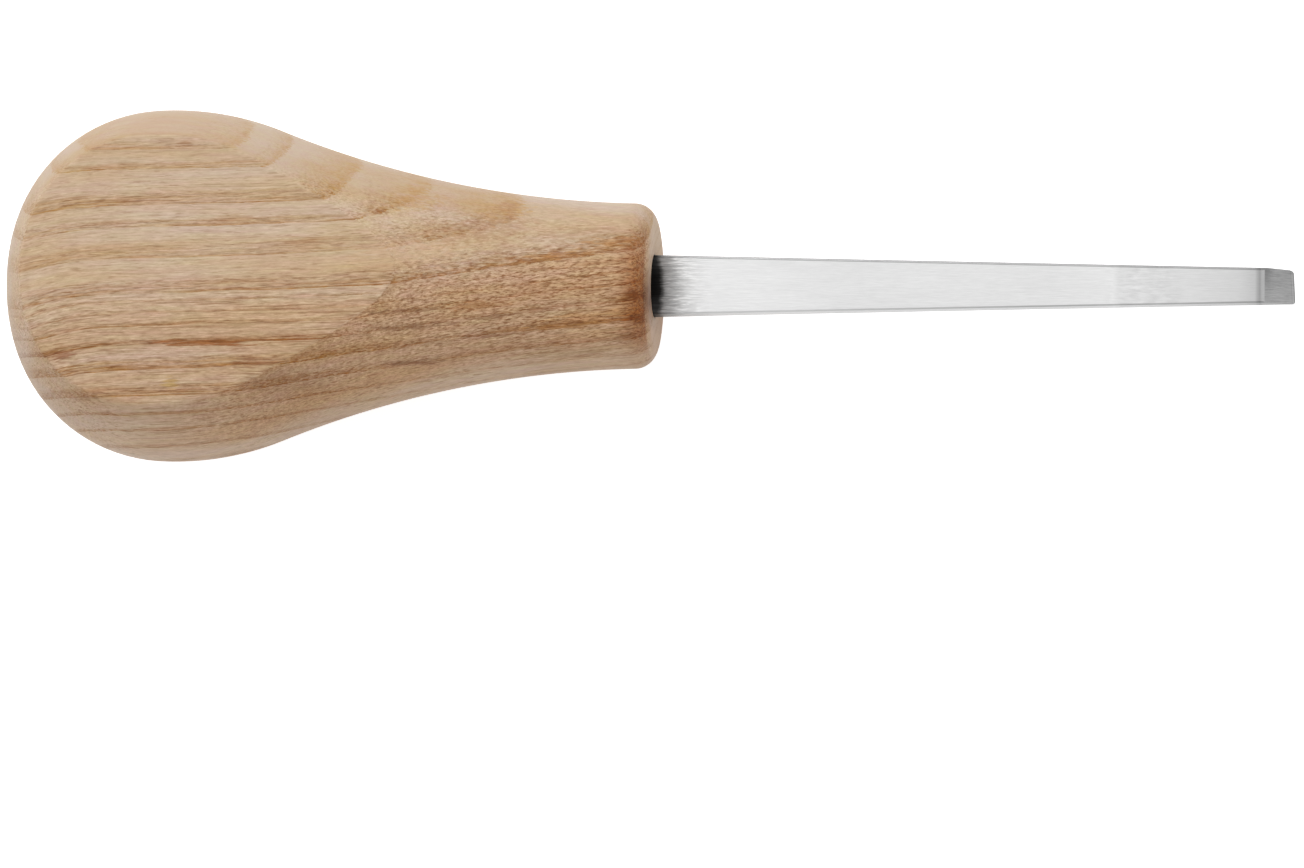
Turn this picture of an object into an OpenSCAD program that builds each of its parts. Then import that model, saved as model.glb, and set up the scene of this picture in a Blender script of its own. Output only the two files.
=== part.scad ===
// Palm chisel: turned ash handle with a flat, tapered steel blade glued into a bored hole.
// Sizes are in millimetres. The tool is drawn along X, butt at X = 0, flat and bevel facing +Z,
// and is then laid on a bench, on the round of the bulb and the cutting edge.

/* [Handle] */
// Length of the handle from the butt to the end of the neck
handle_len = 80; // [74:0.5:88]
// Diameter of the bulb at its widest
bulb_d = 43.2; // [40:0.2:44.8]
// Distance from the butt to the widest place
bulb_at = 20.4; // [19.8:0.1:22.5]
// Radius of the shallow dome at the butt, as a share of the bulb's radius
dome_share = 1.44; // [1.3:0.02:1.6]
// Radius of the shoulder round the dome, as a share of the bulb's radius
shoulder_share = 0.89; // [0.82:0.01:0.92]
// Radius of the bulb's side along the axis, as a share of the bulb's radius
side_share = 1.64; // [1.4:0.02:1.9]
// Diameter of the neck at its end
neck_d = 20.1; // [17:0.1:23]
// Rounding of the neck's end
neck_round = 2.6; // [0.8:0.1:3]
// Depth of the flat below the bulb's widest place
flat_depth = 7.7; // [4.5:0.1:9]

/* [Bore] */
// Diameter of the bored hole for the tang
bore_d = 7.9; // [7.8:0.1:9]
// Depth of the hole, without its drilled point
bore_depth = 38; // [36:0.5:48]
// Full angle of the hole's drilled point
drill_angle = 118; // [90:1:140]
// Distance from the neck's end down to the adhesive
glue_recess = 0.7; // [0.2:0.1:2]

/* [Blade] */
// Length of the blade outside the handle
blade_len = 77.3; // [60:0.1:95]
// Width of the blade where it leaves the handle
root_w = 7.3; // [5:0.1:7.3]
// Width of the cutting edge
edge_w = 4.1; // [2:0.1:7]
// Thickness of the blade where it leaves the handle
root_t = 2.6; // [1.8:0.1:2.8]
// Thickness of the blade just before the bevel
heel_t = 2.2; // [1.2:0.1:2.6]
// Angle of the bevel to the back
bevel_angle = 30; // [20:0.5:40]
// Length of the narrow facet between the face and the bevel
relief_len = 0.42; // [0.1:0.02:1]
// Angle of that facet to the back
relief_angle = 12; // [6:0.5:18]
// Thickness left at the cutting edge
edge_t = 0.05; // [0.03:0.01:0.2]
// Chamfer on the blade's long edges
arris = 0.22; // [0.05:0.01:0.4]

/* [Tang] */
// Length of the blade inside the handle, tang included
tang_len = 34; // [24:0.5:35]
// Length inside the handle before the tang narrows
collar_len = 8; // [3:0.5:15]
// Width of the tang at its end
tang_end_w = 3.2; // [2:0.1:5]
// Thickness of the tang at its end
tang_end_t = 1.8; // [1:0.1:1.8]

/* [Hidden] */
$fn = 120;
ash = [0.80, 0.62, 0.42];
steel = [0.72, 0.73, 0.75];
resin = [0.12, 0.09, 0.06];
// how far a cutting shape reaches past what it cuts
past = 1;
// how far an arc of the handle's outline crosses the next one, so that they meet in a clean point
hair = 0.001;

bulb_r = bulb_d / 2;
neck_r = neck_d / 2;
dome_r = dome_share * bulb_r;
shoulder_r = shoulder_share * bulb_r;
side_r = side_share * bulb_r;
flat_at = bulb_r - flat_depth;

// The handle's outline is a chain of arcs that touch without a corner: dome, shoulder, side,
// hollow, neck rounding. Points are [distance from the axis, distance from the butt].
dome_c = [0, dome_r];
side_c = [bulb_r - side_r, bulb_at];
// the shoulder's centre lies dome_r - shoulder_r from the dome's and side_r - shoulder_r
// from the side's, so it is a crossing of two circles
to_side = side_c - dome_c;
apart = norm(to_side);
along = (pow(dome_r - shoulder_r, 2) - pow(side_r - shoulder_r, 2) + apart * apart) / (2 * apart);
across = sqrt(pow(dome_r - shoulder_r, 2) - along * along);
shoulder_c = dome_c + (along * to_side + across * [-to_side[1], to_side[0]]) / apart;
// the hollow touches the side and runs level at the neck's end
drop = bulb_r - neck_r;
run = handle_len - bulb_at;
hollow_r = (run * run + drop * drop) / (2 * drop) - side_r;
hollow_c = [neck_r + hollow_r, handle_len];
// the rounding touches the hollow and the neck's end face
round_c = [hollow_c[0] - sqrt(pow(hollow_r + neck_round, 2) - neck_round * neck_round),
           handle_len - neck_round];

function toward(from, to, r) = from + r * (to - from) / norm(to - from);
dome_end = toward(dome_c, shoulder_c, dome_r);
side_start = toward(side_c, shoulder_c, side_r);
side_end = toward(side_c, hollow_c, side_r);
round_start = toward(round_c, hollow_c, neck_round);
round_end = round_c + [0, neck_round];

// The laid tool touches the bench with the bulb's side and with the cutting edge.
reach = [handle_len + blade_len - bulb_at, side_r - bulb_r + root_t / 2];
lay_angle = asin(side_r / norm(reach)) - atan2(reach[1], reach[0]);
lift = side_r + bulb_at * sin(lay_angle) - (side_r - bulb_r) * cos(lay_angle);
butt_x = dome_r * cos(lay_angle) - dome_r;
edge_x = (handle_len + blade_len) * cos(lay_angle) + (edge_t - root_t / 2) * sin(lay_angle);

// the blade's lengthwise places, measured from where it leaves the handle
relief_drop = relief_len * tan(relief_angle);
bevel_len = (heel_t - relief_drop - edge_t) / tan(bevel_angle);
heel_x = blade_len - bevel_len;
face_end = heel_x - relief_len;
// the face and the sides taper at one rate each, from the handle to the tip
face_rate = (heel_t - root_t) / face_end;
side_rate = (edge_w - root_w) / 2 / blade_len;

module laid() {
    translate([-(butt_x + edge_x) / 2, 0, lift]) rotate([0, lay_angle, 0]) children();
}

// the part of a disc between two points on its rim, as seen from its centre
module sector(c, r, from, to) {
    beyond = 1.5;
    intersection() {
        translate(c) circle(r = r, $fn = 360);
        polygon([c, c + beyond * (from - c), c + beyond * (from + to - 2 * c), c + beyond * (to - c)]);
    }
}

module handle_outline() {
    difference() {
        intersection() {
            union() {
                polygon([[0, bulb_at], side_end, round_start, round_end, [0, handle_len]]);
                sector(dome_c, dome_r, [0, 0], dome_end);
                translate(shoulder_c) circle(r = shoulder_r + hair, $fn = 360);
                sector(side_c, side_r, side_start, side_end);
                sector(round_c, neck_round + hair, round_start, round_end);
            }
            translate([0, -past]) square([bulb_r + past, handle_len + past]);
        }
        translate(hollow_c) circle(r = hollow_r + hair, $fn = 720);
    }
}

// the bored hole with its drilled point, up to a given distance past the neck's end
module bore(end) {
    r = bore_d / 2;
    point = r / tan(drill_angle / 2);
    translate([handle_len, 0, 0]) rotate([0, 90, 0]) rotate_extrude()
        polygon([[0, -bore_depth - point], [r, -bore_depth], [r, end], [0, end]]);
}

module handle() {
    color(ash) laid() difference() {
        rotate([0, 90, 0]) rotate_extrude() handle_outline();
        translate([-past, -bulb_r, flat_at]) cube([handle_len, bulb_d, bulb_r]);
        bore(past);
    }
}

// the blade and tang seen from above
module blade_plan() {
    half = root_w / 2;
    end = tang_end_w / 2;
    tip = edge_w / 2;
    polygon([[-tang_len, -end], [-collar_len, -half], [0, -half], [blade_len, -tip],
             [blade_len, tip], [0, half], [-collar_len, half], [-tang_len, end]]);
}

// the blade and tang seen from the side, back below and face above
module blade_side() {
    back = -root_t / 2;
    end = tang_end_t / 2;
    polygon([[-tang_len, -end], [-collar_len, back], [blade_len, back],
             [blade_len, back + edge_t], [heel_x, back + heel_t - relief_drop],
             [face_end, back + heel_t], [0, -back], [-collar_len, -back], [-tang_len, end]]);
}

// what the chamfers leave along one diagonal of the section, seen square to that diagonal
module arris_limit() {
    root = (root_w / 2 + root_t / 2 - arris) / sqrt(2);
    face_side = root + (side_rate + face_rate) * blade_len / sqrt(2);
    back_side = root + side_rate * blade_len / sqrt(2);
    polygon([[-tang_len - past, -root], [0, -root], [blade_len, -back_side],
             [blade_len, face_side], [0, root], [-tang_len - past, root]]);
}

module blade_solid() {
    span = root_w + root_t;
    translate([handle_len, 0, 0]) intersection() {
        translate([0, 0, -span / 2]) linear_extrude(height = span) blade_plan();
        translate([0, span / 2, 0]) rotate([90, 0, 0]) linear_extrude(height = span) blade_side();
        intersection_for(turn = [45, 135]) rotate([turn, 0, 0]) translate([0, 0, -span / 2])
            linear_extrude(height = span) arris_limit();
    }
}

module blade() {
    color(steel) laid() blade_solid();
}

module tang_epoxy() {
    color(resin) laid() difference() {
        bore(-glue_recess);
        blade_solid();
    }
}

handle();
blade();
tang_epoxy();
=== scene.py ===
# Palm chisel on a pale bench: a turned ash handle with a flat, and a narrow blade glued into it.
import math

import bmesh
import bpy
from mathutils import Matrix, Vector


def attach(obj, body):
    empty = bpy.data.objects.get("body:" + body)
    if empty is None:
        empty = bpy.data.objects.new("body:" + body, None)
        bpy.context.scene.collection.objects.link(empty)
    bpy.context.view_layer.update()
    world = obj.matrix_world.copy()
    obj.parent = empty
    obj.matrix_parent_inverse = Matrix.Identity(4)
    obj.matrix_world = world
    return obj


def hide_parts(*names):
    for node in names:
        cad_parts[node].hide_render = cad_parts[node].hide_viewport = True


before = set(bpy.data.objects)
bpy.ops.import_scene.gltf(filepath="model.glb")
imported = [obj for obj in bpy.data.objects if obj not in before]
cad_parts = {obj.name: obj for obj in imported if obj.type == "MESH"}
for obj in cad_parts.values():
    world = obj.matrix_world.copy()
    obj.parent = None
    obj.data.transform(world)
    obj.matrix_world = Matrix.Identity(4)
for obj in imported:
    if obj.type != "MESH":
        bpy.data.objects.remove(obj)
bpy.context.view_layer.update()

mm = 0.001
# The tool is modelled along X from its butt, flat and bevel up, in millimetres,
# and is then laid on its bulb and its cutting edge, as the CAD lays it.
laying = {"angle": 8.5994, "shiftX": -77.4975, "lift": 24.8057}
laid = (
    Matrix.Translation((laying["shiftX"] * mm, 0, laying["lift"] * mm))
    @ Matrix.Rotation(math.radians(laying["angle"]), 4, "Y")
    @ Matrix.Scale(mm, 4)
)


def finishPiece(bm, name, material, smoothAngle=30):
    # lays the finished shape in place and makes it a piece of the tool
    bmesh.ops.recalc_face_normals(bm, faces=bm.faces)
    bm.transform(laid)
    mesh = bpy.data.meshes.new(name)
    bm.to_mesh(mesh)
    bm.free()
    mesh.shade_smooth()
    mesh.set_sharp_from_angle(angle=math.radians(smoothAngle))
    mesh.materials.append(material)
    piece = bpy.data.objects.new(name, mesh)
    bpy.context.scene.collection.objects.link(piece)
    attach(piece, "root")
    return piece


def vertsOf(geom):
    return [g for g in geom if isinstance(g, bmesh.types.BMVert)]


def edgesOf(geom):
    return [g for g in geom if isinstance(g, bmesh.types.BMEdge)]


def facesOf(geom):
    return [g for g in geom if isinstance(g, bmesh.types.BMFace)]


# Node helpers: an input is a number, a tuple or another node's output

def feed(tree, socket, value):
    if isinstance(value, bpy.types.NodeSocket):
        tree.links.new(value, socket)
    elif value is not None:
        socket.default_value = value


def calc(tree, operation, first, second=None, third=None, clamp=False):
    node = tree.nodes.new("ShaderNodeMath")
    node.operation = operation
    node.use_clamp = clamp
    for socket, value in zip(node.inputs, (first, second, third)):
        feed(tree, socket, value)
    return node.outputs[0]


def mixColours(tree, share, under, over, blend="MIX"):
    node = tree.nodes.new("ShaderNodeMix")
    node.data_type = "RGBA"
    node.blend_type = blend
    feed(tree, node.inputs["Factor"], share)
    feed(tree, node.inputs[6], under)
    feed(tree, node.inputs[7], over)
    return node.outputs[2]


def remap(tree, value, low, high, toLow=0.0, toHigh=1.0, smooth=False):
    node = tree.nodes.new("ShaderNodeMapRange")
    node.interpolation_type = "SMOOTHSTEP" if smooth else "LINEAR"
    for name, number in (("Value", value), ("From Min", low), ("From Max", high),
                         ("To Min", toLow), ("To Max", toHigh)):
        feed(tree, node.inputs[name], number)
    return node.outputs["Result"]


def noise(tree, vector, scale=1.0, detail=2.0, roughness=0.5, distortion=0.0):
    node = tree.nodes.new("ShaderNodeTexNoise")
    for name, number in (("Vector", vector), ("Scale", scale), ("Detail", detail),
                         ("Roughness", roughness), ("Distortion", distortion)):
        feed(tree, node.inputs[name], number)
    return node.outputs["Fac"]


def stretched(tree, vector, scale, offset=(0, 0, 0)):
    node = tree.nodes.new("ShaderNodeMapping")
    feed(tree, node.inputs["Vector"], vector)
    node.inputs["Scale"].default_value = scale
    node.inputs["Location"].default_value = offset
    return node.outputs[0]


def toolPlace(tree):
    # the shading point in the tool's own millimetres, along X from the butt
    place = tree.nodes.new("ShaderNodeTexCoord")
    turn = tree.nodes.new("ShaderNodeMapping")
    turn.vector_type = "TEXTURE"
    turn.inputs["Location"].default_value = (laying["shiftX"] * mm, 0, laying["lift"] * mm)
    turn.inputs["Rotation"].default_value = (0, math.radians(laying["angle"]), 0)
    turn.inputs["Scale"].default_value = (mm, mm, mm)
    tree.links.new(place.outputs["Object"], turn.inputs["Vector"])
    return turn.outputs[0]


def srgb(red, green, blue):
    # a colour written as on screen, in the linear values that a node takes
    def linear(level):
        level /= 255
        return level / 12.92 if level <= 0.04045 else ((level + 0.055) / 1.055) ** 2.4
    return (linear(red), linear(green), linear(blue), 1)


def newMaterial(name):
    material = bpy.data.materials.new(name)
    material.use_nodes = True
    tree = material.node_tree
    return material, tree, tree.nodes["Principled BSDF"]


# Turned handle
print("turned handle")
handle = {
    "length": 80, "bulbRadius": 21.6, "bulbAt": 20.4, "domeRadius": 31.104,
    "shoulderRadius": 19.224, "sideRadius": 35.424, "neckRadius": 10.05,
    "neckRound": 2.6, "flatAt": 13.9, "boreRadius": 3.95, "boreDepth": 38,
    "drillAngle": 118, "lipRadius": 3.84, "lipDepth": 0.2, "mouthEase": 0.04, "endHollow": 0.2,
    "rimEase": (0.16, 0.14, 0.12), "rimRise": (0.12, 0.07, 0.03), "turns": 240,
}


def crossing(first, firstRadius, second, secondRadius, side):
    # where two circles cross, on the given side of the line between their centres
    apart = second - first
    along = (firstRadius ** 2 - secondRadius ** 2 + apart.length_squared) / (2 * apart.length)
    across = math.sqrt(firstRadius ** 2 - along ** 2)
    unit = apart.normalized()
    return first + along * unit + side * across * Vector((-unit.y, unit.x))


def ontoProfile(point):
    return Vector((point.x, 0, point.y))  # profile points are (along the axis, from the axis)


def sweepArc(bm, tip, centre, end, steps):
    # carries the profile's last point round a centre to the direction of the next one
    start = Vector((tip.co.x, tip.co.z)) - centre
    turn = start.angle_signed(end - centre)
    swept = bmesh.ops.spin(bm, geom=[tip], cent=ontoProfile(centre), axis=(0, 1, 0),
                           angle=turn, steps=steps)
    return vertsOf(swept["geom_last"])[0]


def runTo(bm, tip, point):
    drawn = bmesh.ops.extrude_vert_indiv(bm, verts=[tip])
    drawn["verts"][0].co = ontoProfile(point)
    return drawn["verts"][0]


def turnHandle():
    h = handle
    domeCentre = Vector((h["domeRadius"], 0))
    sideCentre = Vector((h["bulbAt"], h["bulbRadius"] - h["sideRadius"]))
    shoulderCentre = crossing(domeCentre, h["domeRadius"] - h["shoulderRadius"],
                              sideCentre, h["sideRadius"] - h["shoulderRadius"], -1)
    drop = h["bulbRadius"] - h["neckRadius"]
    run = h["length"] - h["bulbAt"]
    hollowRadius = (run ** 2 + drop ** 2) / (2 * drop) - h["sideRadius"]
    hollowCentre = Vector((h["length"], h["neckRadius"] + hollowRadius))
    roundFromHollow = math.sqrt((hollowRadius + h["neckRound"]) ** 2 - h["neckRound"] ** 2)
    roundCentre = Vector((h["length"] - h["neckRound"], hollowCentre.y - roundFromHollow))

    bm = bmesh.new()
    tip = bm.verts.new((0, 0, 0))
    tip = sweepArc(bm, tip, domeCentre, shoulderCentre + (shoulderCentre - domeCentre), 18)
    tip = sweepArc(bm, tip, shoulderCentre, shoulderCentre * 2 - sideCentre, 20)
    tip = sweepArc(bm, tip, sideCentre, hollowCentre, 24)
    tip = sweepArc(bm, tip, hollowCentre, roundCentre, 44)
    tip = sweepArc(bm, tip, roundCentre, roundCentre + Vector((1, 0)), 12)
    # the end face is turned a little hollow, down to the hole
    mouth = h["lipRadius"] + h["mouthEase"]
    faceRadius = roundCentre.y
    for distance in (6.0, 4.6, mouth):
        hollow = h["endHollow"] * (faceRadius - distance) / (faceRadius - mouth)
        tip = runTo(bm, tip, Vector((h["length"] - hollow, distance)))
    # the hole closes a little at its mouth, where the blade was driven in
    lipTop = h["length"] - h["endHollow"]
    tip = runTo(bm, tip, Vector((lipTop - h["mouthEase"], h["lipRadius"])))
    tip = runTo(bm, tip, Vector((lipTop - h["lipDepth"], h["lipRadius"])))
    tip = runTo(bm, tip, Vector((lipTop - h["lipDepth"] * 1.6, h["boreRadius"])))
    for depth in (1.0, 2.0, 6.0, 20.0, h["boreDepth"]):
        tip = runTo(bm, tip, Vector((h["length"] - depth, h["boreRadius"])))
    point = h["boreRadius"] / math.tan(math.radians(h["drillAngle"] / 2))
    runTo(bm, tip, Vector((h["length"] - h["boreDepth"] - point, 0)))

    bmesh.ops.spin(bm, geom=bm.verts[:] + bm.edges[:], cent=(0, 0, 0), axis=(1, 0, 0),
                   angle=2 * math.pi, steps=h["turns"], use_merge=True)
    bmesh.ops.remove_doubles(bm, verts=bm.verts, dist=1e-4)

    # the flat is planed off, and its rim eased in three small steps
    low = h["flatAt"] - sum(h["rimRise"])
    cut = bmesh.ops.bisect_plane(bm, geom=bm.verts[:] + bm.edges[:] + bm.faces[:],
                                 plane_co=(0, 0, low), plane_no=(0, 0, 1), clear_outer=True)
    bmesh.ops.remove_doubles(bm, verts=vertsOf(cut["geom_cut"]), dist=0.06)
    rim = [e for e in bm.edges if e.is_boundary]
    filled = bmesh.ops.edgeloop_fill(bm, edges=rim)
    flat = filled["faces"][0]
    bmesh.ops.recalc_face_normals(bm, faces=bm.faces)
    for inward, rise in zip(h["rimEase"] + (0.3,), h["rimRise"] + (0.0,)):
        bmesh.ops.inset_region(bm, faces=[flat], thickness=inward, depth=rise,
                               use_even_offset=True, use_boundary=True)
    return bm


woodLook = {
    # The growth rings as a field through the wood: a ring lies where the field has one value.
    # It is a plane across the tool, bent by squares and products of the place in it.
    "fieldCentre": (40, 0, 0), "fieldSpan": (40, 20, 20),
    "slope": (-2.73, 13.38, 5.3), "squares": (-0.47, 0.44, 2.25),
    "products": (0.29, 1.22, 2.33), "buttBend": (2.18, -1.14), "bendReach": 16,
    # how far the field sinks on the round upper side, by place along the tool
    "sink": ((34, 0.0), (40, 0.5), (45.5, 0.7), (49, 0.5), (53, 0.28), (57, 0.4), (61, 0.75), (65, 0.85),
             (70, 0.6), (78, 0.3)),
    "wobble": 0.10,
    # each ring: field value where it starts, strength, width of its open pores, redness,
    # and its strength on the neck
    "rings": (
        (-18.6, 0.5, 0.45, 0.5, 0.5), (-16.6, 0.6, 0.35, 0.3, 0.4), (-14.7, 0.95, 0.25, 0.4, 0.5),
        (-12.8, 0.7, 0.3, 0.2, 0.4), (-10.97, 0.85, 0.22, 0.4, 0.5), (-9.08, 0.85, 0.2, 0.4, 0.5),
        (-7.33, 0.85, 0.22, 0.5, 0.6), (-5.43, 0.9, 0.45, 0.5, 0.85), (-3.25, 0.85, 0.5, 0.3, 1.0),
        (-1.26, 1.0, 0.34, 0.9, 0.45), (0.35, 0.75, 0.3, 0.7, 0.75), (1.4, 0.45, 0.3, 0.7, 0.85),
        (2.39, 0.5, 0.35, 0.5, 0.55), (3.1, 0.8, 0.42, 0.4, 1.1), (6.15, 0.5, 0.5, 0.0, 0.75),
        (8.85, 0.74, 0.38, 0.0, 0.75), (10.75, 0.74, 0.38, 0.0, 0.75), (14.0, 0.8, 0.3, 0.0, 0.7),
        (15.77, 0.65, 0.4, 0.0, 0.5), (17.6, 0.5, 0.5, 0.0, 0.5), (19.5, 0.5, 0.5, 0.0, 0.5),
    ),
    # how dark a ring is from its sharp start outwards, as shares of its pore band
    "ringFade": ((0.0, 0.6), (0.03, 1.1), (0.1, 0.9), (0.3, 0.68), (0.55, 0.56), (0.8, 0.42), (0.92, 0.24),
                 (1.0, 0.0)),
    # the same on the round upper side, where the rings are cut along themselves
    "softFade": ((0.0, 0.3), (0.035, 0.95), (0.08, 1.0), (0.2, 0.72), (0.45, 0.42), (0.75, 0.2),
                 (1.0, 0.0)),
    "feather": (0.15, 0.8, 0.4),
    "pale": (204, 181, 157), "warm": (199, 170, 137), "early": (171, 122, 58),
    "earlySoft": (184, 142, 86), "earlyNeck": (165, 122, 84), "earlyRed": (136, 83, 38), "pore": (118, 72, 36),
    "fleck": (137, 87, 46), "line": (138, 96, 60),
    # how much of the wood's colour is kept: browned by polishing at the neck end, darker and redder on the turned
    # lower side (partly oil, partly painted shade), painted shade on the butt, and darker on the bulb's lower side
    # and on the round upper side
    "burnish": (0.58, 0.33, 0.14), "oilAndShadeTint": (0.93, 0.84, 0.75), "buttShade": (0.88, 0.86, 0.84),
    "lowSide": (0.945, 0.94, 0.945), "sliced": (0.94, 0.935, 0.94),
    "endGrain": (206, 179, 148), "endStain": (0.78, 0.6, 0.54), "holeStainAndShade": (0.48, 0.38, 0.32), "hue": 0.045,
    # below this place in the field the wood is redder and darker
    "deepFrom": (4.0, 2.4), "deep": (0.95, 0.9, 0.86),
    # lengths and widths of the grain's marks, as repeats in a millimetre
    "fibreGrain": (0.4, 6.5), "nickGrain": (0.5, 4.6), "lineGrain": (0.05, 4.4), "strandGrain": (0.09, 4.2), "dashGrain": (0.75, 3.6),
    "poreGrain": (0.4, 5.6), "rayGrain": (2.6, 0.7), "fleckGrain": (1.3, 6.2),
    # on the neck the marks climb a little towards the tip
    "markClimb": 0.1, "climbFrom": 45,
    # single marks: place along and across, half length and half width, strength, colour
    "marks": (
        (26.5, -9.0, 6.5, 0.42, 0.85, (142, 82, 30)), (23.0, -13.8, 1.1, 0.9, 0.6, (184, 148, 84)),
        (33.0, -11.4, 2.6, 0.6, 0.6, (128, 76, 46)), (12.6, -15.6, 2.4, 0.3, 0.45, (130, 88, 52)),
        (9.6, -10.6, 2.0, 0.7, 0.7, (130, 80, 50)), (47.9, 7.1, 1.0, 0.4, 0.6, (146, 92, 50)),
        (23.9, 15.2, 0.9, 0.45, 0.5, (150, 98, 56)), (62.8, 8.6, 1.6, 0.9, 0.4, (166, 116, 72)),
        (61.8, -5.2, 3.0, 0.4, 0.55, (126, 84, 54)), (70.5, -6.0, 5.0, 0.45, 0.6, (132, 84, 42)),
        (51.0, 1.8, 8.0, 2.3, 0.65, (204, 172, 136)), (46.0, 4.6, 6.0, 1.8, 0.4, (200, 172, 138)),
        (30.6, 6.2, 3.6, 0.5, 0.35, (160, 108, 64)), (38.5, 3.4, 3.0, 0.55, 0.35, (160, 108, 64)),
        (60.3, 5.2, 6.5, 1.9, 0.6, (174, 138, 106)), (51.0, -4.9, 5.0, 0.35, 0.55, (122, 84, 60)),
        (36.5, -13.4, 5.0, 1.6, 0.35, (140, 106, 80)), (51.5, 8.8, 3.4, 1.4, 0.45, (186, 142, 86)),
        (59.8, -4.0, 4.2, 0.6, 0.5, (156, 104, 58)), (51.9, -10.5, 4.2, 0.35, 0.6, (118, 80, 56)),
        (52.3, -6.6, 4.5, 0.4, 0.55, (120, 82, 58)), (61.6, -7.2, 4.0, 0.4, 0.55, (124, 82, 52)),
        (61.5, -8.7, 4.0, 0.5, 0.5, (182, 148, 114)), (67.2, -4.2, 2.6, 0.5, 0.5, (140, 98, 64)),
        (72.0, -5.95, 8.0, 0.4, 0.4, (188, 138, 78)), (73.5, -4.95, 6.0, 0.5, 0.8, (206, 168, 128)),
        (72.5, -7.1, 5.5, 0.65, 0.6, (194, 160, 124)), (71.5, 5.0, 5.0, 1.1, 0.55, (168, 132, 100)),
        (76.3, 3.9, 4.5, 0.8, 0.5, (176, 122, 60)), (70.0, -8.9, 6.0, 0.7, 0.35, (150, 110, 66)),
        (70.0, 2.3, 5.0, 0.5, 0.4, (178, 128, 68)), (52.0, -8.6, 5.0, 0.6, 0.25, (148, 108, 74)),
        (78.5, -2.6, 1.6, 0.75, 0.9, (140, 98, 56)), (78.9, -5.3, 1.1, 0.5, 0.8, (140, 98, 60)),
    ),
}


def vectorCalc(tree, operation, first, second):
    node = tree.nodes.new("ShaderNodeVectorMath")
    node.operation = operation
    feed(tree, node.inputs[0], first)
    feed(tree, node.inputs[1], second)
    return node.outputs["Value"] if operation in ("DOT_PRODUCT", "LENGTH") else node.outputs[0]


def apart(tree, vector):
    node = tree.nodes.new("ShaderNodeSeparateXYZ")
    tree.links.new(vector, node.inputs[0])
    return node.outputs


def together(tree, x, y, z):
    node = tree.nodes.new("ShaderNodeCombineXYZ")
    for socket, value in zip(node.inputs, (x, y, z)):
        feed(tree, socket, value)
    return node.outputs[0]


def total(tree, *values):
    result = values[0]
    for value in values[1:]:
        result = calc(tree, "ADD", result, value)
    return result


def times(tree, *values):
    result = values[0]
    for value in values[1:]:
        result = calc(tree, "MULTIPLY", result, value)
    return result


def between(tree, value, low, lowEnd, highStart, high):
    # rises from low to lowEnd and falls again from highStart to high
    return times(tree, remap(tree, value, low, lowEnd, smooth=True),
                 remap(tree, value, highStart, high, 1, 0, smooth=True))


def curve(tree, value, points):
    node = tree.nodes.new("ShaderNodeFloatCurve")
    line = node.mapping.curves[0]
    line.points[0].location = points[0]
    line.points[1].location = points[-1]
    for point in points[1:-1]:
        line.points.new(*point)
    for point in line.points:
        point.handle_type = "VECTOR"
    node.mapping.update()
    feed(tree, node.inputs["Value"], value)
    return node.outputs[0]


def leanOf(tree, place):
    # rises from the flat towards the round upper side
    _, y, z = apart(tree, place)
    return total(tree, y, times(tree, z, -0.9))


def ringField(tree, place):
    w = woodLook
    shift = tuple(-c / s for c, s in zip(w["fieldCentre"], w["fieldSpan"]))
    scaled = stretched(tree, place, tuple(1 / s for s in w["fieldSpan"]), shift)
    x, y, z = apart(tree, scaled)
    cycled = together(tree, y, z, x)
    field = total(
        tree,
        vectorCalc(tree, "DOT_PRODUCT", scaled, w["slope"]),
        vectorCalc(tree, "DOT_PRODUCT", vectorCalc(tree, "MULTIPLY", scaled, scaled), w["squares"]),
        vectorCalc(tree, "DOT_PRODUCT", vectorCalc(tree, "MULTIPLY", scaled, cycled), w["products"]),
    )
    along = apart(tree, place)[0]
    start, end = w["sink"][0][0], w["sink"][-1][0]
    sink = curve(tree, remap(tree, along, start, end),
                 [((at - start) / (end - start), depth) for at, depth in w["sink"]])
    sink = times(tree, sink, remap(tree, leanOf(tree, place), -6, 5, 0, -1, smooth=True))
    # the grain turns down a little near the butt
    near = remap(tree, along, 0, w["bendReach"], 1, 0)
    bend = times(tree, near, near, total(tree, w["buttBend"][0],
                                         times(tree, y, w["buttBend"][1])))
    slow = noise(tree, stretched(tree, place, (0.05, 0.16, 0.16), (3.1, 0.4, 7.7)), 1, 2)
    quick = noise(tree, stretched(tree, place, (0.35, 0.9, 0.9)), 1, 2)
    stray = total(tree, times(tree, calc(tree, "SUBTRACT", slow, 0.5), 4 * w["wobble"]),
                  times(tree, calc(tree, "SUBTRACT", quick, 0.5), 1.6 * w["wobble"]))
    return total(tree, field, bend, stray, sink)


def steps(tree, value, colours):
    # one flat colour with its alpha for each equal share of 0 to 1
    node = tree.nodes.new("ShaderNodeValToRGB")
    ramp = node.color_ramp
    ramp.interpolation = "CONSTANT"
    while len(ramp.elements) < len(colours):
        ramp.elements.new(0.999)
    for index, (element, colour) in enumerate(zip(ramp.elements, colours)):
        element.position = index / len(colours)
        element.color = colour
    feed(tree, node.inputs["Fac"], value)
    return node.outputs


def oneMark(tree, place, stray, mark):
    # how much a mark covers the shading point, on the tool's upper side
    along, across, halfLength, halfWidth, strength, _ = mark
    climb = woodLook["markClimb"] if along > woodLook["climbFrom"] else 0
    x, y, z = apart(tree, place)
    ahead = calc(tree, "SUBTRACT", x, along)
    reachX = times(tree, ahead, 1 / halfLength)
    reachY = times(tree, total(tree, y, -across, times(tree, ahead, -climb)), 1 / halfWidth)
    reach = total(tree, times(tree, reachX, reachX), times(tree, reachY, reachY), stray)
    return times(tree, remap(tree, reach, 1.3, 0.0, 0, strength, smooth=True),
                 calc(tree, "GREATER_THAN", z, 0))


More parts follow.
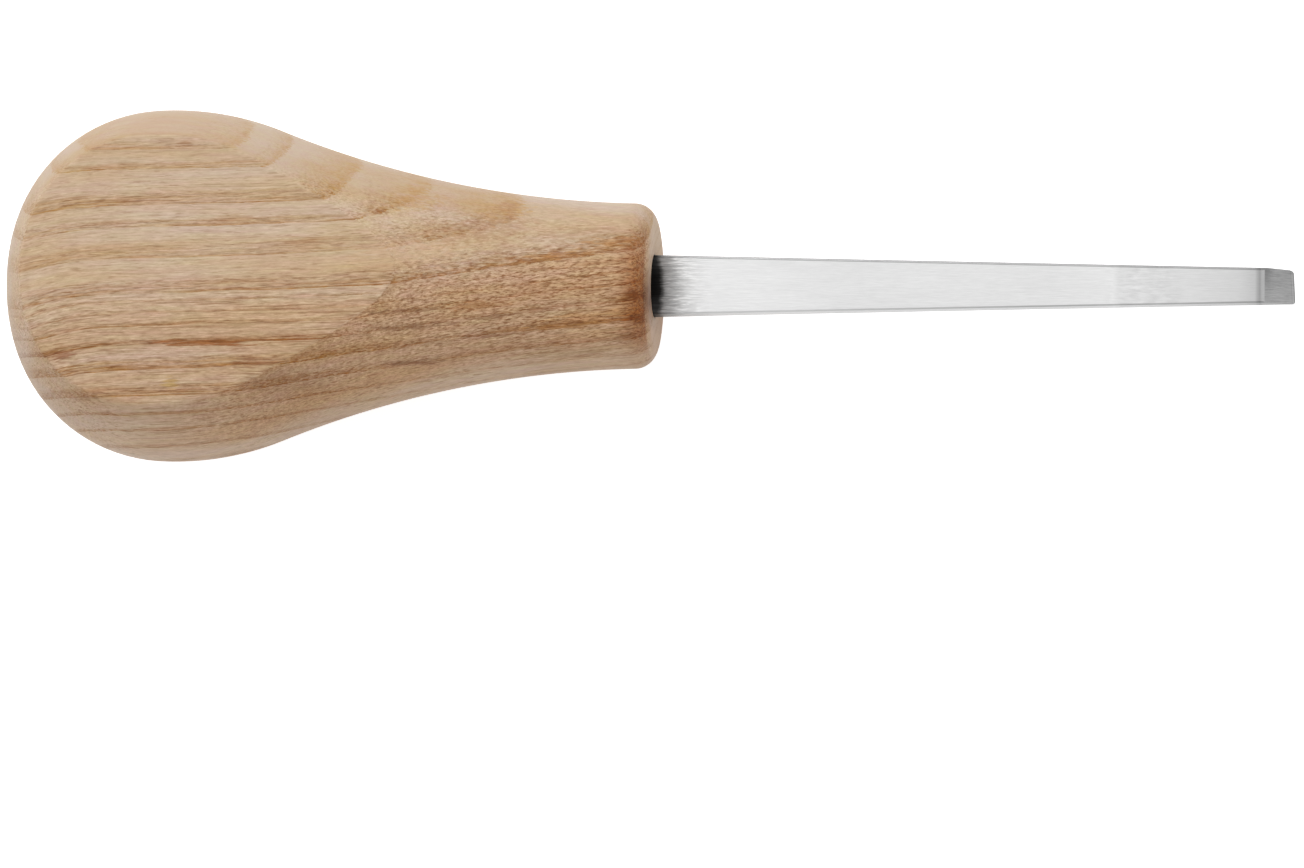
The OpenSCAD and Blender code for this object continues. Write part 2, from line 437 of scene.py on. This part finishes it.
def ashWood():
    w = woodLook
    material, tree, shader = newMaterial("oiledAsh")
    place = toolPlace(tree)
    field = ringField(tree, place)

    # grain that follows the rings: along the tool, across the rings, along the rings
    x, y, z = apart(tree, place)
    side = total(tree, times(tree, y, -0.37), times(tree, z, 0.93))
    grain = together(tree, x, times(tree, field, 1.39), side)

    def grainNoise(scales, offset, detail=2.0, roughness=0.55):
        long, fine = scales
        return noise(tree, stretched(tree, grain, (long, fine, fine), offset), 1, detail, roughness)

    pores = grainNoise(w["poreGrain"], (0.0, 0.0, 0.0), 3.0, 0.6)
    fibres = grainNoise(w["fibreGrain"], (5.0, 2.0, 9.0), 4.0, 0.7)
    dashes = grainNoise(w["dashGrain"], (2.0, 8.0, 4.0), 3.0, 0.65)
    flecks = grainNoise(w["fleckGrain"], (9.0, 3.0, 5.0), 2.0, 0.6)
    lines = grainNoise(w["lineGrain"], (4.0, 1.0, 7.0), 3.0, 0.6)
    strands = grainNoise(w["strandGrain"], (3.0, 9.0, 2.0), 2.0, 0.5)
    rays = grainNoise(w["rayGrain"], (6.0, 4.0, 2.0), 2.0)
    cloud = grainNoise((0.03, 0.22), (1.5, 3.0, 6.0), 3.0)
    patch = grainNoise((0.05, 0.5), (7.5, 1.0, 2.0), 2.0)
    hue = grainNoise((0.2, 1.5), (2.5, 6.0, 4.5), 2.0)
    nicks = grainNoise(w["nickGrain"], (8.0, 5.0, 3.0), 2.0, 0.6)

    # on the round upper side the rings are cut along themselves: wide, soft, feathered bands
    offFlat = remap(tree, z, 13.86, 13.78)
    tangent = times(tree, remap(tree, leanOf(tree, place), -4, 2.5, smooth=True),
                    remap(tree, offFlat, 0, 1, 0.25, 1))
    onNeck = remap(tree, x, 36, 56, smooth=True)
    feather = times(tree, calc(tree, "SUBTRACT", dashes, 0.5),
                    total(tree, w["feather"][0], times(tree, tangent, w["feather"][1]),
                          times(tree, onNeck, w["feather"][2])))
    ringPlace = total(tree, field, feather)

    # ring count: a curve through the rings' starts turns the field into whole numbers there
    starts = [ring[0] for ring in w["rings"]]
    rings = len(starts) - 1
    count = times(tree, curve(tree, remap(tree, ringPlace, starts[0], starts[-1]),
                              [((s - starts[0]) / (starts[-1] - starts[0]), i / rings)
                               for i, s in enumerate(starts)]), rings)
    share = calc(tree, "FRACT", count)
    which = calc(tree, "DIVIDE", total(tree, calc(tree, "FLOOR", count), 0.5), len(starts))
    ringValues = steps(tree, which, [r[1:] for r in w["rings"]])
    strength, width, redness = apart(tree, ringValues["Color"])
    strength = total(tree, times(tree, strength, calc(tree, "SUBTRACT", 1, onNeck)),
                     times(tree, ringValues["Alpha"], onNeck))
    redness = times(tree, redness, total(tree, 1, times(tree, onNeck, -0.3)))
    # the rings are faint on the worn butt
    nearEnd = remap(tree, x, 60, 71, smooth=True)
    strength = times(tree, strength, remap(tree, x, 1, 7, 0.4, 1), total(tree, 1, times(tree, nearEnd, 0.28)),
                     remap(tree, tangent, 0, 1, 1, 0.82))

    deep = remap(tree, field, *w["deepFrom"], 0, 1, smooth=True)
    width = times(tree, width, total(tree, 1, times(tree, tangent, remap(tree, nearEnd, 0, 1, 1.1, 0.1)),
                                      times(tree, onNeck, remap(tree, deep, 0, 1, 0.5, -0.35)),
                                      times(tree, nearEnd, remap(tree, deep, 0, 1, -0.4, 0.45))))
    inBand = calc(tree, "DIVIDE", share, width, clamp=True)
    soft = calc(tree, "MAXIMUM", tangent, times(tree, onNeck, 0.6))
    hard = times(tree, curve(tree, inBand, w["ringFade"]), calc(tree, "SUBTRACT", 1, soft))
    fade = total(tree, hard, times(tree, curve(tree, inBand, w["softFade"]), soft))
    band = times(tree, remap(tree, inBand, 0.7, 1, 1, 0), strength)
    uneven = remap(tree, patch, 0.32, 0.68, 0.7, 1.25)
    early = times(tree, fade, strength, uneven,
                  remap(tree, pores, 0.3, 0.7, remap(tree, tangent, 0, 1, 0.7, 0.85), 1.2),
                  remap(tree, strands, 0.42, 0.6, remap(tree, tangent, 0, 1, 0.42, 0.8), 1.2, smooth=True))

    # the turned lower side and neck are darker and redder than the planed flat: partly the oil they took up,
    # partly painted shade where the round side turns away from the light
    oilAndShadeMask = times(tree, deep, offFlat, remap(tree, x, 16, 33, smooth=True),
                 remap(tree, calc(tree, "ABSOLUTE", z), 3.0, 7.5, 0.0, 1, smooth=True))
    base = mixColours(tree, remap(tree, cloud, 0.35, 0.65), srgb(*w["pale"]), srgb(*w["warm"]))
    base = mixColours(tree, tangent, base, mixColours(tree, 1, base, (*w["sliced"], 1), "MULTIPLY"))
    base = mixColours(tree, deep, base, mixColours(tree, 1, base, (*w["deep"], 1), "MULTIPLY"))
    low = times(tree, between(tree, y, -20, -17.5, -8, -5.5), remap(tree, x, 38, 48, 1, 0, smooth=True))
    base = mixColours(tree, low, base, mixColours(tree, 1, base, (*w["lowSide"], 1), "MULTIPLY"))
    ringColour = mixColours(tree, redness, srgb(*w["early"]), srgb(*w["earlyRed"]))
    ringColour = mixColours(tree, times(tree, onNeck, 0.75), ringColour, srgb(*w["earlyNeck"]))
    ringColour = mixColours(tree, tangent, ringColour, srgb(*w["earlySoft"]))
    colour = mixColours(tree, calc(tree, "MINIMUM", early, 1), base, ringColour)
    thin = times(tree, remap(tree, lines, 0.55, 0.63, smooth=True), remap(tree, tangent, 0, 1, 1, 0.25),
                 remap(tree, patch, 0.35, 0.65, 0.6, 1.2),
                 total(tree, 0.26, times(tree, deep, 0.3), times(tree, band, 0.08)))
    colour = mixColours(tree, thin, colour, srgb(*w["line"]))

    stray = times(tree, calc(tree, "SUBTRACT", grainNoise((0.35, 4.0), (3.0, 3.0, 1.0), 3.0), 0.5), 6)
    for mark in w["marks"]:
        colour = mixColours(tree, oneMark(tree, place, stray, mark), colour, srgb(*mark[-1]))
    # partly oil, partly painted shade: the turned lower side and neck are painted darker and redder
    colour = mixColours(tree, oilAndShadeMask, colour, mixColours(tree, 1, colour, (*w["oilAndShadeTint"], 1), "MULTIPLY"))

    # open pores in the bands, flecks, short dashes and long fibres all over
    poreMask = times(tree, remap(tree, pores, 0.52, 0.66, 0, 1, smooth=True),
                     remap(tree, tangent, 0, 1, 1, 0.15),
                     total(tree, 0.1, times(tree, band, 0.9)))
    colour = mixColours(tree, times(tree, poreMask, remap(tree, onNeck, 0, 1, 0.55, 0.35)), colour,
                        srgb(*w["pore"]))
    nickMask = times(tree, remap(tree, nicks, 0.58, 0.68, smooth=True),
                     total(tree, 0.34, times(tree, tangent, -0.26), times(tree, band, 0.15)))
    colour = mixColours(tree, nickMask, colour, srgb(*w["fleck"]))
    fleckMask = times(tree, remap(tree, flecks, 0.5, 0.64, smooth=True),
                      total(tree, 0.06, times(tree, oilAndShadeMask, remap(tree, y, -6, -11, 0.6, 0.35), remap(tree, x, 50, 62, 0.75, 1)),
                            times(tree, band, 0.12)))
    colour = mixColours(tree, fleckMask, colour, srgb(*w["fleck"]))
    dashDepth = total(tree, 0.1, times(tree, deep, 0.09), times(tree, oilAndShadeMask, 0.03), times(tree, band, 0.07))
    fibreDepth = remap(tree, deep, 0, 1, 0.135, 0.2)
    streak = times(tree, total(tree, 1, times(tree, fibreDepth, remap(tree, fibres, 0.3, 0.7, -1, 1))),
                   remap(tree, flecks, 0.3, 0.7, total(tree, 1, times(tree, oilAndShadeMask, 0.2)),
                         total(tree, 1, times(tree, oilAndShadeMask, -0.12))),
                   total(tree, 1, times(tree, dashDepth, remap(tree, dashes, 0.3, 0.7, -1, 1))))
    rayDepth = times(tree, oilAndShadeMask, remap(tree, x, 60, 48, 0, 0.14))
    streak = times(tree, streak, total(tree, 1, times(tree, rayDepth, remap(tree, rays, 0.3, 0.7, -1, 1))))
    # calmer where the wood is cut along its rings, and round the lower side
    calm = total(tree, 1, times(tree, tangent, remap(tree, x, 58, 66, -0.85, -0.1)),
                 times(tree, offFlat, remap(tree, y, -6, -11, 0, -0.4, smooth=True)))
    streak = total(tree, 1, times(tree, calm, calc(tree, "SUBTRACT", streak, 1)))
    green = times(tree, calc(tree, "POWER", streak, 1.2),
                  remap(tree, hue, 0.3, 0.7, 1 - w["hue"], 1 + w["hue"]))
    blue = times(tree, calc(tree, "POWER", streak, 1.45), remap(tree, patch, 0.3, 0.7, 1.05, 0.94))
    tint = together(tree, streak, green, blue)
    colour = mixColours(tree, 1, colour, tint, "MULTIPLY")

    # painted shade: the butt's end grain and rim are painted darker
    butt = remap(tree, x, 4.0, 0.5, 0, 1, smooth=True)
    colour = mixColours(tree, butt, colour, mixColours(tree, 1, colour, (*w["buttShade"], 1), "MULTIPLY"))

    # the neck end is browned by the polishing, and its end grain is pale with fine radial lines
    turned = times(tree, remap(tree, total(tree, x, times(tree, early, 1.6)), 75.4, 79.2, 0, 1, smooth=True),
                   remap(tree, x, 79.5, 79.7, 1, 0, smooth=True))
    brown = times(tree, turned, remap(tree, y, -1, 7.5, 1, 0.12), remap(tree, y, -9.0, -7.4, 0.3, 1),
                  remap(tree, y, -6.8, -4.8, 0.72, 1),
                  remap(tree, dashes, 0.3, 0.7, 0.6, 1.2))
    burnished = mixColours(tree, 1, colour, (*w["burnish"], 1), "MULTIPLY")
    colour = mixColours(tree, calc(tree, "MINIMUM", brown, 1), colour, burnished)
    spoke = vectorCalc(tree, "NORMALIZE", together(tree, 0.0, y, z), None)
    spokes = noise(tree, stretched(tree, spoke, (1, 9, 9)), 1, 3, 0.6)
    onEnd = remap(tree, x, 79.72, 79.95, 0, 0.62, smooth=True)
    onEnd = times(tree, onEnd, calc(tree, "SUBTRACT", 1, calc(tree, "MINIMUM", early, 1)))
    ends = mixColours(tree, remap(tree, spokes, 0.35, 0.65), srgb(*w["warm"]), srgb(*w["endGrain"]))
    stained = mixColours(tree, 1, ends, (*w["endStain"], 1), "MULTIPLY")
    ends = mixColours(tree, remap(tree, total(tree, y, times(tree, spokes, 6)), 7, 0, 0, 0.7), ends, stained)
    colour = mixColours(tree, onEnd, colour, ends)
    # the wood in the hole's mouth is darkened: partly a stain from the adhesive, partly painted shade in the gap
    # beside the blade
    holeStainAndShadeMask = times(tree, remap(tree, x, 79.3, 79.7, smooth=True), between(tree, y, -6.0, -4.4, -0.2, 1.8),
                  remap(tree, z, 1, 4.5, 0.25, 1), remap(tree, spokes, 0.3, 0.7, 0.8, 1.1),
                  total(tree, 0.62, times(tree, between(tree, y, -4.2, -2.8, -1.6, -0.4), 0.38)))
    stained = mixColours(tree, 1, colour, (*w["holeStainAndShade"], 1), "MULTIPLY")
    colour = mixColours(tree, holeStainAndShadeMask, colour, stained)

    feed(tree, shader.inputs["Base Color"], colour)
    feed(tree, shader.inputs["Roughness"], total(tree, 0.44, times(tree, poreMask, 0.25),
                                                 times(tree, fibres, 0.1)))
    height = total(tree, times(tree, fibres, 0.35), times(tree, dashes, 0.3), times(tree, poreMask, -1))
    bump = tree.nodes.new("ShaderNodeBump")
    bump.inputs["Strength"].default_value = 0.5
    bump.inputs["Distance"].default_value = 0.03 * mm
    feed(tree, bump.inputs["Height"], height)
    feed(tree, shader.inputs["Normal"], bump.outputs[0])
    shader.inputs["IOR"].default_value = 1.46
    shader.inputs["Specular IOR Level"].default_value = 0.2
    shader.inputs["Sheen Weight"].default_value = 0.15
    shader.inputs["Sheen Roughness"].default_value = 0.4
    return material


ash = ashWood()
turned = finishPiece(turnHandle(), "turned_handle", ash)
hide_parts("handle")

# Blade with its tang
print("blade")
blade = {
    "root": 80, "length": 77.3, "rootWidth": 7.3, "edgeWidth": 4.1, "rootThick": 2.6,
    "heelThick": 2.2, "bevelAngle": 30, "reliefLength": 0.42, "reliefAngle": 12, "edgeThick": 0.05,
    "tangLength": 34, "collarLength": 8, "tangEndWidth": 3.2, "tangEndThick": 1.8,
    "arris": 0.24, "arrisSteps": 5,
    # the tip as it was sharpened: out of square, its corners worn, a finer bevel at the edge
    "skew": 3.2, "cornerRadius": 0.42, "cornerSteps": 5, "honedLength": 0.3, "honedAngle": 35,
}
blade["reliefDrop"] = blade["reliefLength"] * math.tan(math.radians(blade["reliefAngle"]))
blade["bevelLength"] = ((blade["heelThick"] - blade["reliefDrop"] - blade["edgeThick"])
                        / math.tan(math.radians(blade["bevelAngle"])))
blade["tip"] = blade["root"] + blade["length"]
blade["heel"] = blade["tip"] - blade["bevelLength"]
blade["faceEnd"] = blade["heel"] - blade["reliefLength"]
blade["back"] = -blade["rootThick"] / 2
blade["faceEndTop"] = blade["back"] + blade["heelThick"]
blade["heelTop"] = blade["faceEndTop"] - blade["reliefDrop"]


def sloped(angle):
    # the normal of a facet on the face side that falls towards the tip
    return Vector((math.sin(math.radians(angle)), 0, math.cos(math.radians(angle))))


def grind(bm, point, normal):
    # takes everything beyond a plane away and closes the cut
    bmesh.ops.bisect_plane(bm, geom=bm.verts[:] + bm.edges[:] + bm.faces[:],
                           plane_co=point, plane_no=normal, clear_outer=True)
    bmesh.ops.edgeloop_fill(bm, edges=[e for e in bm.edges if e.is_boundary])


def forgeBlade():
    b = blade
    half = b["rootWidth"] / 2
    thick = b["rootThick"] / 2
    # the face side's taper is carried on to the tip, where the grinding takes it off again
    rate = (b["faceEndTop"] - thick) / (b["faceEnd"] - b["root"])
    stations = (
        (b["root"] - b["tangLength"], b["tangEndWidth"] / 2, -b["tangEndThick"] / 2, b["tangEndThick"] / 2),
        (b["root"] - b["collarLength"], half, -thick, thick),
        (b["root"], half, -thick, thick),
        (b["tip"], b["edgeWidth"] / 2, b["back"], thick + rate * b["length"]),
    )
    bm = bmesh.new()
    bmesh.ops.create_grid(bm, x_segments=1, y_segments=1, size=1)
    section = bm.faces[:]
    corners = {v: (v.co.x, v.co.y) for v in bm.verts}
    for index, (along, width, low, high) in enumerate(stations):
        if index:
            before = corners
            grown = bmesh.ops.extrude_face_region(bm, geom=section)["geom"]
            if index > 1:
                bmesh.ops.delete(bm, geom=section, context="FACES_ONLY")
            section = facesOf(grown)
            corners = {v: min(before.items(), key=lambda old: (old[0].co - v.co).length)[1]
                       for v in vertsOf(grown)}
        for vert, (side, face) in corners.items():
            vert.co = (along, side * width, high if face > 0 else low)
    lengthwise = [e for e in bm.edges if abs((e.verts[0].co - e.verts[1].co).x) > 1]
    bmesh.ops.bevel(bm, geom=lengthwise, offset=b["arris"], offset_type="OFFSET", affect="EDGES",
                    segments=b["arrisSteps"], profile=0.5, material=-1)

    # the tip is cut out of square, and its corners are worn round
    skew = math.radians(b["skew"])
    tipHalf = b["edgeWidth"] / 2
    across = Vector((-math.sin(skew), math.cos(skew), 0))
    ahead = Vector((math.cos(skew), math.sin(skew), 0))
    lowCorner = Vector((b["tip"], -tipHalf, 0))
    grind(bm, lowCorner, ahead)
    highCorner = lowCorner + across * 2 * tipHalf / math.cos(skew)
    for corner, outward in ((lowCorner, -across), (highCorner, across)):
        centre = corner - (ahead + outward) * b["cornerRadius"]
        for step in range(1, b["cornerSteps"] + 1):
            turn = math.radians(90) * step / (b["cornerSteps"] + 1)
            normal = ahead * math.cos(turn) + outward * math.sin(turn)
            grind(bm, centre + normal * b["cornerRadius"], normal)

    # relief facet, bevel and the finer bevel at the edge
    grind(bm, (b["faceEnd"], 0, b["faceEndTop"]), sloped(b["reliefAngle"]))
    grind(bm, (b["heel"], 0, b["heelTop"]), sloped(b["bevelAngle"]))
    fall = math.tan(math.radians(b["bevelAngle"]))

    def onBevel(corner):
        place = corner - ahead * b["honedLength"]
        place.z = b["heelTop"] - (place.x - b["heel"]) * fall
        return place
    honed = sloped(b["honedAngle"]).cross(Vector((0, -1, 0)))
    lift = (onBevel(highCorner) - onBevel(lowCorner)).cross(honed)
    grind(bm, onBevel(lowCorner), lift if lift.z > 0 else -lift)
    return bm


steelLook = {
    "face": (218, 218, 218), "black": (17, 15, 14), "bevel": (160, 160, 160),
    # how light the face is along the blade, as shares of its own colour: black root, streaked
    # band, clean face, hand-polished patch, dull end before the facet
    "along": ((80.0, 0.01), (80.6, 0.015), (80.9, 0.13), (81.2, 0.38), (81.5, 0.47), (82.4, 0.58), (83.2, 0.77), (84.4, 0.91),
              (87.0, 0.98), (92.0, 0.99), (104.0, 0.93), (117.0, 0.95), (128.0, 0.95), (134.5, 1.0), (135.7, 1.04),
              (136.3, 0.93), (138.2, 0.925), (138.9, 0.965), (139.6, 0.93), (140.5, 0.93), (144.0, 0.92), (150.5, 0.82), (152.6, 0.70), (152.85, 0.47),
              (153.1, 0.42), (153.25, 0.62), (157.3, 0.62)),
    "streakEnd": 85.5, "patch": (134.0, 136.2, 141.0, 146.0),
}


def beyondPlane(tree, place, point, normal):
    # distance past a plane, in millimetres
    return calc(tree, "SUBTRACT", vectorCalc(tree, "DOT_PRODUCT", place, tuple(normal)),
                Vector(point).dot(normal))


def groundSteel():
    b = blade
    s = steelLook
    material, tree, shader = newMaterial("groundSteel")
    place = toolPlace(tree)
    x, y, z = apart(tree, place)

    def lines(along, across, offset, detail=3.0, roughness=0.6, distortion=0.0):
        return noise(tree, stretched(tree, place, (along, across, across), offset), 1, detail,
                     roughness, distortion)

    brush = lines(0.2, 7.0, (0, 0, 0), 4.0, 0.7)
    fine = lines(0.7, 11, (3, 7, 1))
    streaks = lines(0.5, 6.5, (2, 5, 8), 3.0, 0.7, 0.3)
    cloud = lines(0.05, 0.22, (9, 4, 2))
    mottle = lines(0.7, 2.4, (1, 6, 3), 3.0, 0.6)

    # the wear along the blade, its borders shifted a little from line to line
    stray = times(tree, calc(tree, "SUBTRACT", streaks, 0.5),
                  remap(tree, x, b["root"] + 1.2, b["root"] + 3, 0.6, 2.6))
    stray = times(tree, stray, remap(tree, x, 88, 92, 1, 0))
    # the black is uneven from side to side: it reaches least far along the blade's upper side,
    # and furthest below its middle
    uneven = noise(tree, stretched(tree, place, (0.01, 0.45, 0.01), (4, 6, 2)), 1, 2, 0.4)
    belowMiddle = calc(tree, "ABSOLUTE", total(tree, y, 0.6))
    border = total(tree, remap(tree, uneven, 0.3, 0.7, -0.4, 0.3),
                   remap(tree, y, 1.6, 3.3, 0, 0.75, smooth=True),
                   remap(tree, y, -1.8, -3.5, 0, 0.2, smooth=True),
                   remap(tree, belowMiddle, 0, 1.5, -0.16, 0, smooth=True))
    stray = total(tree, stray, times(tree, border, remap(tree, x, 84, 88, 1, 0)))
    stray = total(tree, stray, times(tree, between(tree, x, 130, 133, 142, 146),
                                     remap(tree, mottle, 0.3, 0.7, -0.7, 0.7)))
    span = b["tip"] - b["root"]
    along = curve(tree, remap(tree, total(tree, x, stray), b["root"], b["tip"]),
                  [((place - b["root"]) / span, share / 2) for place, share in s["along"]])
    along = times(tree, along, 2)
    # the black itself is greyer towards the blade's sides
    along = total(tree, along, times(tree, remap(tree, calc(tree, "ABSOLUTE", y), 1.2, 3.2, 0, 0.06),
                                     remap(tree, x, 81.4, 80.8)))
    inStreaks = remap(tree, x, b["root"] + 1, s["streakEnd"] + 2, 1, 0)
    inPatch = between(tree, x, *s["patch"])
    streakTone = remap(tree, streaks, 0.4, 0.7, 0.74, 1.4, smooth=True)
    streakTone = total(tree, 1, times(tree, inStreaks, calc(tree, "SUBTRACT", streakTone, 1)))
    patchTone = total(tree, 1, times(tree, inPatch, remap(tree, mottle, 0.3, 0.7, -0.08, 0.1)))
    tone = times(tree, along, streakTone, patchTone, remap(tree, brush, 0.3, 0.7, 0.965, 1.035),
                 remap(tree, fine, 0.3, 0.7, 0.945, 1.055), remap(tree, cloud, 0.3, 0.7, 0.98, 1.02))

    # painted shade: the arris is painted darker than the face, and darkest along the lower side near the tip
    halfWidth = remap(tree, x, b["root"], b["tip"], b["rootWidth"] / 2, b["edgeWidth"] / 2)
    top = remap(tree, x, b["root"], b["faceEnd"], b["rootThick"] / 2, b["faceEndTop"])
    inward = calc(tree, "SUBTRACT", halfWidth, calc(tree, "ABSOLUTE", y))
    fromArris = total(tree, inward, calc(tree, "SUBTRACT", top, z))
    lowSide = calc(tree, "LESS_THAN", y, 0)
    arrisShadeMask = remap(tree, total(tree, fromArris, times(tree, lowSide, 0.65 * b["arris"])),
                    b["arris"] * 1.6, b["arris"] * 1.25, 0, 1, smooth=True)
    arrisShade = remap(tree, x, b["root"] + 20, b["root"] + 45, 0.78, 0.58)
    arrisShade = total(tree, times(tree, lowSide, arrisShade),
                      times(tree, calc(tree, "SUBTRACT", 1, lowSide), 0.52))
    tone = times(tree, tone, total(tree, 1, times(tree, arrisShadeMask, calc(tree, "SUBTRACT", arrisShade, 1))))
    colour = mixColours(tree, calc(tree, "MINIMUM", tone, 1), srgb(*s["black"]), srgb(*s["face"]))
    extra = calc(tree, "MAXIMUM", tone, 1)
    colour = mixColours(tree, 1, colour, together(tree, extra, extra, extra), "MULTIPLY")

    # the ground bevel with its coarser lines, and the honed edge
    pastBevel = beyondPlane(tree, place, (b["heel"], 0, b["heelTop"]), sloped(b["bevelAngle"]))
    onBevel = remap(tree, pastBevel, -0.05, -0.015, smooth=True)
    # the bevel falls steeply, so its scratches are laid out from above
    onTop = together(tree, x, y, 0.0)
    scratch = noise(tree, stretched(tree, onTop, (0.5, 7.0, 1), (6, 2, 5)), 1, 4, 0.8)
    rim = calc(tree, "SUBTRACT", b["tip"] - b["edgeWidth"] / 2 * math.tan(math.radians(b["skew"])),
               total(tree, x, times(tree, y, math.tan(math.radians(b["skew"])))))
    honed = curve(tree, remap(tree, rim, 0, 1), ((0, 0.30), (0.1, 0.34), (0.16, 0.54), (0.3, 0.56),
                                                  (0.36, 0.40), (0.44, 0.5), (1, 0.5)))
    # painted shade: the bevel is darker towards its upper side, most just past the heel
    shade = total(tree, remap(tree, scratch, 0.3, 0.7, 0.69, 1.28),
                  times(tree, remap(tree, x, b["heel"], b["heel"] + 1.3, 1, 0, smooth=True),
                        remap(tree, y, -1.2, 1.4, -0.04, -0.26)))
    shade = times(tree, shade, honed, 2, remap(tree, y, -1.6, 2.0, 1.03, 0.88))
    bevelColour = mixColours(tree, 1, srgb(*s["bevel"]), together(tree, shade, shade, shade),
                             "MULTIPLY")
    colour = mixColours(tree, onBevel, colour, bevelColour)

    feed(tree, shader.inputs["Base Color"], colour)
    shader.inputs["Metallic"].default_value = 1
    rough = total(tree, 0.3, times(tree, brush, 0.1), times(tree, inStreaks, 0.15),
                  times(tree, onBevel, 0.1), times(tree, inPatch, -0.06))
    feed(tree, shader.inputs["Roughness"], rough)
    height = total(tree, brush, times(tree, fine, 0.5), times(tree, scratch, onBevel, 2))
    bump = tree.nodes.new("ShaderNodeBump")
    bump.inputs["Strength"].default_value = 0.5
    bump.inputs["Distance"].default_value = 0.0005 * mm
    feed(tree, bump.inputs["Height"], height)
    feed(tree, shader.inputs["Normal"], bump.outputs[0])
    return material


forged = finishPiece(forgeBlade(), "tapered_blade", groundSteel(), smoothAngle=8)
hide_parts("blade")

# Adhesive in the hole
print("adhesive")


def agedEpoxy():
    material, tree, shader = newMaterial("agedEpoxy")
    place = toolPlace(tree)
    lumps = noise(tree, stretched(tree, place, (0.9, 0.9, 0.9)), 1, 4, 0.6)
    colour = mixColours(tree, remap(tree, lumps, 0.35, 0.65), srgb(24, 18, 12), srgb(58, 42, 26))
    feed(tree, shader.inputs["Base Color"], colour)
    feed(tree, shader.inputs["Roughness"], remap(tree, lumps, 0.3, 0.7, 0.25, 0.5))
    shader.inputs["IOR"].default_value = 1.55
    bump = tree.nodes.new("ShaderNodeBump")
    bump.inputs["Strength"].default_value = 0.6
    bump.inputs["Distance"].default_value = 0.15 * mm
    feed(tree, bump.inputs["Height"], lumps)
    feed(tree, shader.inputs["Normal"], bump.outputs[0])
    return material


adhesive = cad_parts["tang_epoxy"]
adhesive.data.materials.clear()
adhesive.data.materials.append(agedEpoxy())

# Camera, where the photograph was taken from
print("camera and lights")
shot = {
    "axisPoint": 78.7, "towardTip": 7.332, "fromBelow": 8.564, "distance": 700,
    "pixelsPerMm": 8.2125, "pointX": 645.844, "pointY": 286.106,
    "width": 1304, "height": 868,
}


def placeCamera():
    s = shot
    theta = math.radians(s["towardTip"])
    phi = math.radians(s["fromBelow"])
    back = Vector((math.sin(theta), -math.sin(phi) * math.cos(theta),
                   math.cos(phi) * math.cos(theta)))
    right = (Vector((1, 0, 0)) - back.x * back).normalized()
    up = back.cross(right)
    look = Matrix((right, up, back)).transposed()
    # turn the camera so that the axis point lands off the middle of the picture
    lens = s["pixelsPerMm"] * s["distance"]
    tiltX = math.atan((s["pointX"] - s["width"] / 2) / lens)
    tiltY = math.atan((s["pointY"] - s["height"] / 2) / lens)
    aim = look @ Matrix.Rotation(tiltY, 3, "X") @ Matrix.Rotation(tiltX, 3, "Y")
    camera = bpy.data.cameras.new("photoCamera")
    camera.sensor_width = 36
    camera.lens = lens * 36 / s["width"]
    camera.clip_start = 0.01
    camera.clip_end = 10
    holder = bpy.data.objects.new("photoCamera", camera)
    bpy.context.scene.collection.objects.link(holder)
    stand = Vector((s["axisPoint"], 0, 0)) + s["distance"] * back
    holder.matrix_world = (Matrix.Translation(laid @ stand)
                           @ laid.to_quaternion().to_matrix().to_4x4() @ aim.to_4x4())
    bpy.context.scene.camera = holder
    return holder


placeCamera()


def benchTop():
    # a pale sheet that is white to the camera and to the metal, and still takes the shadow
    bm = bmesh.new()
    bmesh.ops.create_grid(bm, x_segments=2, y_segments=2, size=1.6)
    mesh = bpy.data.meshes.new("bench_sheet")
    bm.to_mesh(mesh)
    bm.free()
    material, tree, shader = newMaterial("palePaper")
    shader.inputs["Base Color"].default_value = (0.82, 0.82, 0.82, 1)
    shader.inputs["Roughness"].default_value = 0.9
    path = tree.nodes.new("ShaderNodeLightPath")
    seen = calc(tree, "MAXIMUM", path.outputs["Is Camera Ray"],
                calc(tree, "MAXIMUM", path.outputs["Is Glossy Ray"],
                     path.outputs["Is Transmission Ray"]))
    shader.inputs["Emission Color"].default_value = (1, 1, 1, 1)
    feed(tree, shader.inputs["Emission Strength"],
         total(tree, times(tree, seen, 0.35), times(tree, path.outputs["Is Camera Ray"], 0.35)))
    mesh.materials.append(material)
    sheet = bpy.data.objects.new("bench_sheet", mesh)
    bpy.context.scene.collection.objects.link(sheet)
    return sheet


benchTop()


def areaLamp(name, place, aim, size, power):
    lamp = bpy.data.lights.new(name, "AREA")
    lamp.shape = "DISK"
    lamp.size = size
    lamp.energy = power
    holder = bpy.data.objects.new(name, lamp)
    bpy.context.scene.collection.objects.link(holder)
    holder.location = place
    holder.rotation_euler = (Vector(aim) - Vector(place)).to_track_quat("-Z", "Y").to_euler()
    return holder


areaLamp("softKey", (-0.25, 0.84, 0.98), (0, 0, 0), 0.8, 6.8)


def whiteRoom():
    world = bpy.data.worlds.new("whiteRoom")
    bpy.context.scene.world = world
    world.use_nodes = True
    tree = world.node_tree
    background = tree.nodes["Background"]
    path = tree.nodes.new("ShaderNodeLightPath")
    seen = calc(tree, "MAXIMUM", path.outputs["Is Camera Ray"],
                calc(tree, "MAXIMUM", path.outputs["Is Glossy Ray"],
                     path.outputs["Is Transmission Ray"]))
    background.inputs["Color"].default_value = (1, 1, 1, 1)
    feed(tree, background.inputs["Strength"], remap(tree, seen, 0, 1, 0.73, 1.0))


whiteRoom()

bpy.context.scene.view_settings.view_transform = "Standard"
